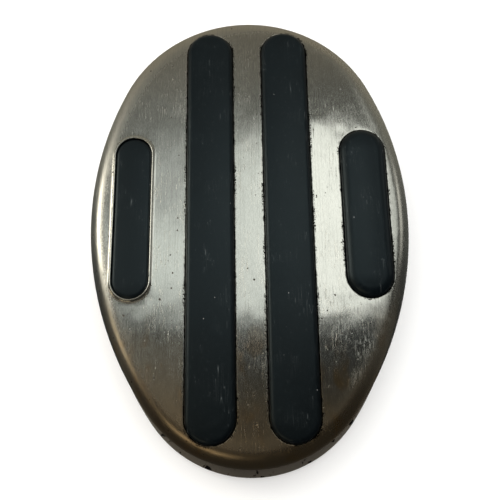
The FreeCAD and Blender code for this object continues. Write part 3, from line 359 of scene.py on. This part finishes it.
def rim_sheet(facing):
    """One profile carried round the egg: down inside the roll to the skirt's foot, across the
    rounded cut edge, and up outside over the roll. The foot rises in a straight line from toe to
    heel, and into the notch by a smooth step."""
    start, inner = TOP - ROLL, ROLL - WALL
    turn = np.linspace(0, math.acos(1 - RIM_MEET / ROLL), 9)
    back = np.linspace(math.acos(1 - (RIM_MEET - WALL) / inner), 0, 6)
    inset = np.concatenate([
        WALL + inner * (1 - np.cos(back)), np.full(6, WALL), [WALL - EDGE_ROUND, EDGE_ROUND],
        np.zeros(6), ROLL * (1 - np.cos(turn))])
    rise = np.concatenate([inner * np.sin(back), np.zeros(14), ROLL * np.sin(turn)])
    rise = rise - np.where(rise > 1e-9, easing(inset), 0)
    down = [0.2, 0.4, 0.6, 0.8, 0.95, 1]
    drop = np.concatenate([np.zeros(6), down, [1, 1], down[::-1], np.zeros(9)])
    lift = np.concatenate([np.zeros(11), [EDGE_ROUND, 0, 0, EDGE_ROUND], np.zeros(14)])
    x, y = egg_edge(facing[None, :], inset[:, None])
    foot = np.interp(y, [-HALF_LENGTH, HALF_LENGTH], [SKIRT_HEEL, SKIRT_TOE])
    notch = np.clip((NOTCH_HALF + NOTCH_EASE / 2 - np.abs(x)) / NOTCH_EASE, 0, 1) * (y > 0)
    foot = foot + (NOTCH_TOP - foot) * notch * notch * (3 - 2 * notch)
    z = start + rise[:, None] + (foot - start) * drop[:, None] + lift[:, None]
    return np.stack([x, y, z], -1)


def slot_sheet(slot, collar):
    """One profile carried round a slot: in over its collar, over a fillet or the lip's bead, and
    down the cut wall to the collar underneath."""
    across, middle, width, length, lip = slot
    side, along = slot_edge(middle, width / 2, length / 2, 40)
    if lip:
        bead = np.linspace(0, math.pi, 9)
        out = np.concatenate(
            [[collar, 1.2, 0.85, 0.68], LIP_BEAD + LIP_BEAD * np.cos(bead), [0, 0]])
        up = np.concatenate(
            [[0, 0.02, 0.10, 0.24], lip - LIP_BEAD + LIP_BEAD * np.sin(bead), [-0.4, -WALL]])
    else:
        fillet = np.linspace(0, math.pi / 2, 6)
        out = np.concatenate([[collar, 0.9, 0.6], SLOT_FILLET - SLOT_FILLET * np.sin(fillet), [0]])
        up = np.concatenate([[0, 0, 0], SLOT_FILLET * np.cos(fillet) - SLOT_FILLET, [-WALL]])
    x = across + (width / 2 + out[:, None]) * np.cos(side)
    y = along + (width / 2 + out[:, None]) * np.sin(side)
    z = face_height(x, y, ROLL)[0] + up[:, None]
    under_x, under_y = x[[-1, 0]], y[[-1, 0]]
    under = np.stack([under_x, under_y, face_height(under_x, under_y, ROLL - WALL)[0]], -1)
    return np.concatenate([np.stack([x, y, z], -1), under])


def face_plan(outlines, collars):
    """Triangles over the level face: the least sharp ones (Delaunay's) through the outlines,
    rings of points inside the rim and a square grid, kept where they lie on the sheet."""
    facing = np.linspace(0, 2 * math.pi, len(outlines[0]), endpoint=False)
    rings = np.stack(egg_edge(facing, np.array(FACE_RINGS)[:, None]), -1).reshape(-1, 2)
    grid = np.meshgrid(np.arange(-54, 55, FACE_GRID), np.arange(-81, 82, FACE_GRID))
    grid = np.stack(grid, -1).reshape(-1, 2)
    grid = grid[face_height(*grid.T, ROLL)[1] > FACE_START]
    loose = np.concatenate([rings, grid])
    loose = loose[slot_gaps(*loose.T, collars) > 0.5]
    edges, first = [], 0
    for outline in outlines:
        here = np.arange(len(outline))
        edges.append(np.stack([here, (here + 1) % len(outline)], -1) + first)
        first += len(outline)
    corners = [mathutils.Vector(corner) for corner in np.concatenate([*outlines, loose])]
    flat, _, faces, *_ = mathutils.geometry.delaunay_2d_cdt(
        corners, np.concatenate(edges).tolist(), [], 0, 1e-5)
    flat, faces = np.array(flat), np.array(faces)
    centre_x, centre_y = flat[faces].mean(1).T
    inside = face_height(centre_x, centre_y, ROLL)[1] > RIM_MEET - 1e-3
    return flat, faces[inside & (slot_gaps(centre_x, centre_y, collars) > -1e-3)]


def cover_sheets():
    """The cover as sheets that meet: the rim, each slot, and the face between them, once for each
    side of the sheet."""
    facing = np.linspace(0, 2 * math.pi, 288, endpoint=False)
    collars = [LIP_COLLAR if lip else COLLAR for *_, lip in SLOTS.values()]
    grids = [rim_sheet(facing)]
    grids += [slot_sheet(slot, collar) for slot, collar in zip(SLOTS.values(), collars)]
    sheets = [(tilted(grid), quads(*grid.shape[:2])) for grid in grids]
    outlines = [grids[0][-1, :, :2]] + [grid[0, :, :2] for grid in grids[1:]]
    flat, faces = face_plan(outlines, collars)
    for radius, way in ((ROLL, 1), (ROLL - WALL, -1)):
        face = np.column_stack([flat, face_height(*flat.T, radius)[0]])
        sheets.append((tilted(face), faces[:, ::way]))
    return sheets


def mark_distances(points):
    """How far each place of the cover is from a slot, from the rim and from the skirt's foot, for
    the dirt, the rubbing, the painted shade on the heel's roll and in the seam at its foot, and
    the painted highlight on the skirt's cut edge. The places are turned back level about the hinge
    pin first."""
    cos, sin = math.cos(REST_TILT), math.sin(REST_TILT)
    x, along, up = points[:, 0], points[:, 1] - PIN_Y, points[:, 2] - PIN_Z
    y, z = PIN_Y + along * cos + up * sin, PIN_Z + up * cos - along * sin
    shelter = [-DIRT_SHELTER if lip else 0.0 for *_, lip in SLOTS.values()]
    from_rim = np.where(z > TOP - ROLL - RUB_BELOW, face_height(x, y, ROLL)[1], 0.0)
    foot = np.interp(y, [-HALF_LENGTH, HALF_LENGTH], [SKIRT_HEEL, SKIRT_TOE])
    return {
        "from_slot": np.clip(slot_gaps(x, y, shelter), 0.0, SLOT_REACH),
        "from_rim": np.clip(from_rim, 0.0, RIM_REACH),
        "from_foot": np.clip(z - foot, 0.0, RIM_REACH)}


cover = joined("cover", cover_sheets(), steel_finish, "treadle", sharp=50.0)
places = np.empty(len(cover.data.vertices) * 3)
cover.data.vertices.foreach_get("co", places)
for distance_name, distances in mark_distances(places.reshape(-1, 3) / MM).items():
    measure = cover.data.attributes.new(distance_name, "FLOAT", "POINT")
    measure.data.foreach_set("value", distances.astype(np.float32))
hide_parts("treadle_cover")

# ---------------------------------------------------------------------------------------------
# Treads: four black rubber blocks moulded to fill the slots, held from below by rubber pegs
# pulled through the carrier plate. Feet have polished them unevenly and left dust and scuffs.
# ---------------------------------------------------------------------------------------------
rubber = Finish("tread_rubber")
mottle = rubber.noise(0.09, (1.0, 0.6, 1.0), detail=4.0, warp=0.4)
grain = rubber.noise(3.2, detail=3.0, shift=3.0)
dust = rubber.noise(1.1, (1.0, 0.8, 1.0), detail=6.0, warp=0.5, shift=8.0)
speck_places = rubber.noise(0.35, detail=1.0, shift=17.0).step(0.58, 0.62)
specks = rubber.spots(0.33).step(0.055, 0.035) * speck_places
scuffs = 0.0
for turn, density, shift in ((14.0, 0.20, 1.0), (-38.0, 0.16, 6.0)):
    line = abs(rubber.noise(density, (5.0, 0.3, 0.3), turn, detail=1.0, shift=shift) - 0.5)
    patch = rubber.noise(0.10, detail=1.0, shift=shift * 5.0).step(0.56, 0.68)
    scuffs = line.step(0.0035, 0.001) * patch + scuffs
black = rubber.blend(mottle, colour(4, 8, 11), colour(9, 15, 19))
# Darker towards the heel: painted shade.
black = rubber.blend(rubber.y.step(-5.0, -75.0) * 0.5, black, colour(4, 6, 8))
black = rubber.blend(dust.step(0.60, 0.78) * 0.25, black, colour(60, 64, 64))
black = rubber.blend(scuffs * 0.5, black, colour(92, 96, 96))
black = rubber.blend(specks * 0.8, black, colour(170, 172, 170))
softness = mottle * 0.12 + 0.26 + dust * 0.10 + specks * 0.2
relief = rubber.bump(mottle, 0.10, rubber.bump(grain, 0.010))
rubber_finish = rubber.surface(
    black, softness, relief, Specular_IOR_Level=0.5, Specular_Tint=(0.74, 0.93, 1.0, 1.0))

# height over the cover, width and height of the rounded edge, crown, pegs and their inset
TREADS = {
    "long_tread_left": (1.8, 1.9, 1.5, 0.25, 4, 9.0),
    "long_tread_right": (1.8, 1.9, 1.5, 0.25, 4, 9.0),
    "short_tread_left": (0.6, 1.5, 1.0, 0.15, 2, 12.0),
    "short_tread_right": (2.4, 3.6, 2.3, 0.25, 2, 12.0),
}
TREAD_FOOT, PEG_FOOT, SLOT_FIT = 30.8, 29.3, 0.12
# outline of a peg's head and shank: distances from its middle line, and heights over its foot
PEG_OUT = np.array([0, 2.2, 2.6, 2.6, 2.3, 1.7, 1.7, 0])
PEG_UP = np.array([-1.3, -1.3, -1.0, -0.3, 0.0, 0.0, 1.6, 1.6])


def tread_sheets(slot, shape):
    """A profile carried round the slot, in from its foot, up its wall, over an elliptical edge
    and across a crown that rises as a parabola to the middle line; then a turned peg and its
    head at each place under it."""
    across, middle, width, length, _ = slot
    proud, edge, drop, crown, pegs, peg_inset = shape
    half = width / 2 - SLOT_FIT
    side, along = slot_edge(middle, half, length / 2 - SLOT_FIT, 32)
    turn = np.linspace(0, math.pi / 2, 10)
    flat = np.linspace(half - edge, 0, 7)[1:]
    radius = np.concatenate([[0, half - 0.3, half], half - edge + edge * np.cos(turn), flat])
    top = TOP + proud
    height = np.concatenate([
        [TREAD_FOOT, TREAD_FOOT, TREAD_FOOT + 0.3], top - drop - crown + drop * np.sin(turn),
        top - crown * (flat / (half - edge)) ** 2])
    x = across + radius[:, None] * np.cos(side)
    y = along + radius[:, None] * np.sin(side)
    z = np.broadcast_to(height[:, None], x.shape)
    sheets = [(tilted(np.stack([x, y, z], -1)), quads(len(radius), len(side)))]
    swing = np.linspace(0, 2 * math.pi, 24, endpoint=False)
    for place in middle + np.linspace(peg_inset - length / 2, length / 2 - peg_inset, pegs):
        x = across + PEG_OUT[:, None] * np.cos(swing)
        y = place + PEG_OUT[:, None] * np.sin(swing)
        z = np.broadcast_to(PEG_UP[:, None] + PEG_FOOT, x.shape)
        sheets.append((tilted(np.stack([x, y, z], -1)), quads(len(PEG_OUT), len(swing))))
    return sheets


for name, shape in TREADS.items():
    sheets = tread_sheets(SLOTS[name], shape)
    tread = joined(name.replace("tread", "rubber"), sheets, rubber_finish, "treadle")
    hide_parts(name)

# ---------------------------------------------------------------------------------------------
# Carrier plate and small steel parts: zinc plated sheet, studs, nuts, rivets and straps, blanked
# and bent, with a pale bluish spangle that has dulled in patches.
# ---------------------------------------------------------------------------------------------
zinc = Finish("zinc_steel")
spangle = zinc.node("ShaderNodeSeparateColor", {}, {0: zinc.spots(0.35, "Color")})
dull = zinc.noise(0.09, detail=5.0, warp=0.6)
marks = zinc.noise(2.0, (1.0, 0.08, 0.4), shift=4.0)
plating = zinc.blend(spangle, colour(176, 180, 182), colour(198, 201, 200))
plating = zinc.blend(dull.step(0.48, 0.72) * 0.6, plating, colour(148, 142, 128))
zinc_finish = zinc.surface(
    plating, dull * 0.28 + 0.20 + marks * 0.08,
    zinc.bump(marks, 0.004, zinc.bump(dull, 0.05)), Metallic=1.0)


def dress(finish, *names):
    """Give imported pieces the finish, in place of the plain one they came with."""
    for name in names:
        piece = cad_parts[name]
        piece.data.materials.clear()
        piece.data.materials.append(finish)


dress(zinc_finish, "carrier_plate", "cover_studs", "carrier_nuts", "cap_rivets", "lug_rivets",
      "stop_lug", "spring_cap_left", "spring_cap_right", "hinge_bracket_left",
      "hinge_bracket_right", "bracket_rivets", "seat_rivets", "spring_seat_left",
      "spring_seat_right", "stop_bridge", "bridge_rivets", "clip_rivets", "suppressor_clip",
      "inlet_rivets", "foot_screws", "foot_nuts", "housing_screws", "pin_clips", "hinge_pin")

# ---------------------------------------------------------------------------------------------
# Base tray and feet: pressed steel with a rim standing out all round, plated and dulled by age.
# Moulded rubber feet are screwed under it, and rubber pads take the knocks of the stop.
# ---------------------------------------------------------------------------------------------
pressed = Finish("tray_steel")
draw_lines = pressed.noise(2.6, (1.0, 0.10, 0.3), detail=3.0)
age = pressed.noise(0.07, detail=5.0, warp=0.8)
spots = pressed.noise(0.9, detail=5.0, shift=6.0)
metal = pressed.blend(age, colour(112, 106, 96), colour(146, 140, 129))
rim = pressed.z.step(10.5, 8.5)
# Black spots on the rim at the heel: painted shade of the seam under the cover's skirt.
seam_spot_noise = pressed.noise(0.34, (1.0, 1.0, 0.5), detail=4.0, warp=0.3, shift=9.0)
rim_seam_shade = seam_spot_noise.step(0.60, 0.66) * rim * pressed.y.step(-40.0, -62.0)
metal = pressed.blend(rim * 0.8, metal, colour(122, 116, 106))
metal = pressed.blend(spots.step(0.60, 0.72) * 0.7, metal, colour(70, 60, 48))
metal = pressed.blend(rim_seam_shade, metal, colour(18, 16, 14))
tray_finish = pressed.surface(
    metal, age * 0.20 + 0.26 + spots.step(0.58, 0.7) * 0.25 + rim_seam_shade * 0.4,
    pressed.bump(draw_lines, 0.003, pressed.bump(age, 0.08)), Metallic=1.0 - rim * 0.22)
dress(tray_finish, "base_tray")

feet = Finish("foot_rubber")
foot_grain = feet.noise(2.4, detail=4.0)
foot_wear = feet.noise(0.2, detail=4.0, warp=0.5)
foot_finish = feet.surface(
    feet.blend(foot_wear, colour(30, 30, 30), colour(48, 47, 46)), foot_wear * 0.2 + 0.6,
    feet.bump(foot_grain, 0.02))
dress(foot_finish, "foot_toe_left", "foot_toe_right", "foot_heel_left", "foot_heel_right",
      "stop_bumper", "stop_pad")

# ---------------------------------------------------------------------------------------------
# Hinge and springs: turned brass bushes on a steel pin, and coils of oiled spring wire that stand
# on the base.
# ---------------------------------------------------------------------------------------------
turned = Finish("brass")
tarnish = turned.noise(0.16, detail=5.0, warp=0.6)
tool_lines = turned.noise(6.0, (0.05, 1.0, 1.0), detail=2.0)
brass_finish = turned.surface(
    turned.blend(tarnish, colour(206, 170, 96), colour(158, 122, 62)), tarnish * 0.25 + 0.2,
    turned.bump(tool_lines, 0.003), Metallic=1.0)
dress(brass_finish, "hinge_bush_left", "hinge_bush_right", "terminal_left", "terminal_right",
      "contact_bar", "contact_button_left", "contact_button_right", "inlet_pins")

wire = Finish("spring_steel")
oil = wire.noise(0.5, detail=4.0, warp=0.4)
wire_finish = wire.surface(
    wire.blend(oil, colour(96, 96, 98), colour(134, 132, 128)), oil * 0.2 + 0.25,
    wire.bump(oil, 0.02), Metallic=1.0)


def wire_coil(name, turns, wire):
    """A round wire carried along a helix between the foot and the top of the named spring. Its
    height is the running total of the pitch, which is one wire in the closed end turns and wider
    between them; the section is a circle that shrinks to a point at both cut ends."""
    low, high = (np.array(corner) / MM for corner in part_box(name))
    middle, bend = (low + high) / 2, (high[0] - low[0] - wire) / 2
    turn = np.linspace(0, turns, int(turns * 40) + 1)
    pitch = np.interp(turn, [0, 0.9, 1.4, turns - 1.4, turns - 0.9, turns], [0, 0.1, 1, 1, 0.1, 0])
    climb = np.concatenate([[0], np.cumsum((pitch[1:] + pitch[:-1]) / 2)])
    closed = wire * turns * 1.02  # what the turns take up where they lie on each other
    spread = high[2] - low[2] - wire - closed
    centre_z = low[2] + wire / 2 + climb / climb[-1] * spread + turn / turns * closed
    thick = np.concatenate([[0], np.full(len(turn), wire / 2), [0]])
    turn = np.concatenate([turn[:1], turn, turn[-1:]])
    centre_z = np.concatenate([centre_z[:1], centre_z, centre_z[-1:]])
    section = np.linspace(0, 2 * math.pi, 12, endpoint=False)
    out = bend + thick[:, None] * np.cos(section)
    swing = 2 * math.pi * turn[:, None]
    points = np.stack([
        middle[0] + out * np.cos(swing), middle[1] + out * np.sin(swing),
        centre_z[:, None] + thick[:, None] * np.sin(section)], -1) * MM
    return [(points, quads(len(turn), len(section))[:, ::-1])]


# spring, the joint it follows, its turns, its wire, and the share of its height left when closed
for name, joint, turns, thickness, keep in (
        ("return_spring_left", "treadle_tilt", 8, 1.4, 0.61),
        ("return_spring_right", "treadle_tilt", 8, 1.4, 0.61),
        ("plunger_spring", "plunger_slide", 4, 0.8, 0.71)):
    sheets = wire_coil(name, turns, thickness)
    coil = joined(name.replace("spring", "coil"), sheets, wire_finish, "base", sharp=60.0)
    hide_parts(name)
    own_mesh(coil)

# ---------------------------------------------------------------------------------------------
# Speed control: unglazed ceramic body with a moulded lid, carbon stacks, and the plunger and
# pusher that press them together, moulded in the lid's brown resin.
# ---------------------------------------------------------------------------------------------
ceramic = Finish("white_ceramic")
clay = ceramic.noise(0.12, detail=5.0)
clay_grain = ceramic.noise(2.2, detail=4.0, shift=2.0)
ceramic_finish = ceramic.surface(
    ceramic.blend(clay, colour(226, 222, 210), colour(238, 236, 228)), clay_grain * 0.2 + 0.45,
    ceramic.bump(clay_grain, 0.015))
dress(ceramic_finish, "rheostat_housing")

resin = Finish("brown_phenolic")
swirl = resin.noise(0.25, detail=6.0, warp=1.5)
resin_finish = resin.surface(
    resin.blend(swirl, colour(74, 40, 24), colour(102, 60, 36)), swirl * 0.15 + 0.28,
    resin.bump(swirl, 0.02))
dress(resin_finish, "rheostat_lid", "plunger", "pusher_pad")

stack = Finish("carbon")
discs = stack.node(
    "ShaderNodeTexWave", dict(bands_direction="Z"), {"Vector": stack.place, "Scale": 0.5})
soot = stack.noise(1.0, detail=4.0)
carbon_finish = stack.surface(
    stack.blend(soot, colour(34, 34, 35), colour(52, 52, 53)), soot * 0.2 + 0.45,
    stack.bump(discs, 0.08))
dress(carbon_finish, "carbon_stack_left", "carbon_stack_right")

# ---------------------------------------------------------------------------------------------
# Suppressor, inlet and leads: a drawn aluminium can in its clip, the black moulded socket riveted
# at the toe, and the two braided sleeves of the leads between inlet and control.
# ---------------------------------------------------------------------------------------------
can = Finish("can_aluminium")
draw_rings = can.noise(4.0, (1.0, 0.1, 0.1), detail=2.0)
haze = can.noise(0.2, detail=4.0)
can_finish = can.surface(
    can.blend(haze, colour(190, 192, 194), colour(212, 213, 214)), haze * 0.2 + 0.25,
    can.bump(draw_rings, 0.004), Metallic=1.0)
dress(can_finish, "suppressor_can")

moulding = Finish("black_moulding")
satin = moulding.noise(0.3, detail=5.0)
spark = moulding.noise(3.0, shift=5.0)
moulding_finish = moulding.surface(
    moulding.blend(satin, colour(26, 26, 27), colour(38, 38, 39)), satin * 0.15 + 0.38,
    moulding.bump(spark, 0.012))
dress(moulding_finish, "inlet_housing")

sleeve = Finish("lead_sleeve")
weave = sleeve.node(
    "ShaderNodeTexWave", dict(bands_direction="DIAGONAL"), {"Vector": sleeve.place, "Scale": 0.9})
fade = sleeve.noise(0.2, detail=4.0)
sleeve_finish = sleeve.surface(
    sleeve.blend(fade, colour(150, 128, 84), colour(176, 154, 108)), fade * 0.1 + 0.6,
    sleeve.bump(weave, 0.08))
dress(sleeve_finish, "lead_live", "lead_neutral")

# ---------------------------------------------------------------------------------------------
# Studio: a pale floor, soft rectangular lights that the steel mirrors, a dim room around them
# with a pale backdrop where the camera sees past the floor, and the camera.
# ---------------------------------------------------------------------------------------------
FLOOR = 1.1  # half the floor's side, in metres
floor_mesh = bpy.data.meshes.new("floor")
floor_mesh.from_pydata(
    [(-FLOOR, -FLOOR, 0), (FLOOR, -FLOOR, 0), (FLOOR, FLOOR, 0), (-FLOOR, FLOOR, 0)],
    [], [(0, 1, 2, 3)])
paper = Finish("floor_paper")
paper_tone = paper.noise(0.01, detail=2.0)
floor_mesh.materials.append(paper.surface(
    paper.blend(paper_tone, (0.90, 0.90, 0.90, 1.0), (0.92, 0.92, 0.92, 1.0)), 0.9))
floor = bpy.data.objects.new("floor", floor_mesh)
bpy.context.scene.collection.objects.link(floor)
floor.visible_glossy = False


def panel(name, place, toward, size, power, tint, seen=True):
    """A rectangular studio light at a place, facing a point; unseen ones show in no reflection."""
    light = bpy.data.lights.new(name, "AREA")
    light.shape = "RECTANGLE"
    light.size, light.size_y = size
    light.energy = power
    light.color = tint
    lamp = bpy.data.objects.new(name, light)
    direction = mathutils.Vector(toward) - mathutils.Vector(place)
    lamp.location = place
    lamp.rotation_euler = direction.to_track_quat("-Z", "Y").to_euler()
    lamp.visible_glossy = seen
    bpy.context.scene.collection.objects.link(lamp)


panel("window", (0.0875, 0.1167, 0.515), (0.0875, 0.1687, 0.018), (0.115, 0.2086),
      0.0948, (0.99, 1.0, 0.95))
panel("window_right", (0.2325, 0.1167, 0.515), (0.2325, 0.1687, 0.018), (0.175, 0.2086),
      0.078, (0.99, 1.0, 0.95))
panel("window_middle", (-0.01, 0.1030, 0.512), (-0.01, 0.1550, 0.015), (0.08, 0.1980),
      0.0455, (0.96, 1.0, 0.96))
panel("window_left", (-0.125, 0.068, 0.512), (-0.125, 0.120, 0.015), (0.15, 0.096),
      0.0400, (0.95, 1.0, 0.96))
panel("window_left_high", (-0.09, 0.1565, 0.506), (-0.09, 0.2085, 0.009), (0.08, 0.080),
      0.0092, (0.95, 1.0, 0.98))
panel("brown_wall", (-0.175, -0.10, 0.50), (-0.175, -0.10, 0.0), (0.26, 0.17),
      0.014, (1.0, 0.84, 0.60))
panel("ceiling", (0.0, 0.0, 1.5), (0.0, 0.0, 0.0), (2.4, 2.4), 44.0, (1.0, 1.0, 1.0), seen=False)
panel("front_fill", (0.0, -1.3, 0.6), (0.0, 0.0, 0.0), (1.6, 0.6), 6.0, (1.0, 1.0, 1.0),
      seen=False)
panel("glow_left", (-0.41, 0.11, 0.30), (-0.05, 0.0, 0.03), (0.17, 0.20), 0.42, (1.0, 0.93, 0.80))
panel("glow_left_high", (-0.31, 0.10, 0.44), (-0.05, 0.0, 0.03), (0.20, 0.16),
      0.125, (1.0, 0.93, 0.82))
panel("glow_right", (0.42, 0.13, 0.27), (0.05, 0.0, 0.03), (0.15, 0.16), 0.055, (1.0, 0.96, 0.88))
panel("lamp_left", (-0.445, -0.13, 0.32), (-0.04, -0.04, 0.03), (0.06, 0.22),
      0.075, (1.0, 0.78, 0.50))
panel("lamp_heel", (-0.22, -0.40, 0.31), (-0.02, -0.06, 0.03), (0.26, 0.12),
      0.120, (1.0, 0.82, 0.54))

world = bpy.data.worlds.new("room")
world.use_nodes = True
bpy.context.scene.world = world
room = Wiring(world.node_tree)
ray = room.node("ShaderNodeTexCoord", {}, {}, "Generated")
toward_toe = room.node("ShaderNodeSeparateXYZ", {}, {0: ray}, "Y")
span = room.node("ShaderNodeMapRange", {}, {"Value": toward_toe, "From Min": -1.0})
walls = room.node("ShaderNodeValToRGB", dict(stops=(
    (0.30, (0.040, 0.037, 0.031)), (0.44, (0.11, 0.10, 0.082)), (0.463, (0.060, 0.054, 0.042)),
    (0.50, (0.030, 0.031, 0.029)), (0.54, (0.034, 0.035, 0.034)), (0.70, (0.12, 0.12, 0.108)),
    (0.88, (0.29, 0.27, 0.22)))), {0: span})
sky = room.node("ShaderNodeBackground", {}, {"Color": walls})
backdrop = room.node("ShaderNodeBackground", {}, {"Color": (0.92, 0.92, 0.92, 1.0)})
seen_direct = room.node("ShaderNodeLightPath", {}, {}, "Is Camera Ray")
shown = room.node("ShaderNodeMixShader", {}, {0: seen_direct, 1: sky, 2: backdrop})
room.node("ShaderNodeOutputWorld", {}, {"Surface": shown})

bpy.context.scene.view_settings.view_transform = "Standard"
lens = bpy.data.cameras.new("camera")
lens.lens, lens.sensor_width = 48.43, 36.0
camera = bpy.data.objects.new("camera", lens)
camera.location = (0.0, -0.1025, 0.2519)
aim = mathutils.Vector((0.0, -0.0123, 0.0393)) - camera.location
roll = mathutils.Matrix.Rotation(math.radians(-1.0), 4, "Z")
camera.rotation_euler = (aim.to_track_quat("-Z", "Y").to_matrix().to_4x4() @ roll).to_euler()
bpy.context.scene.collection.objects.link(camera)
bpy.context.scene.camera = camera
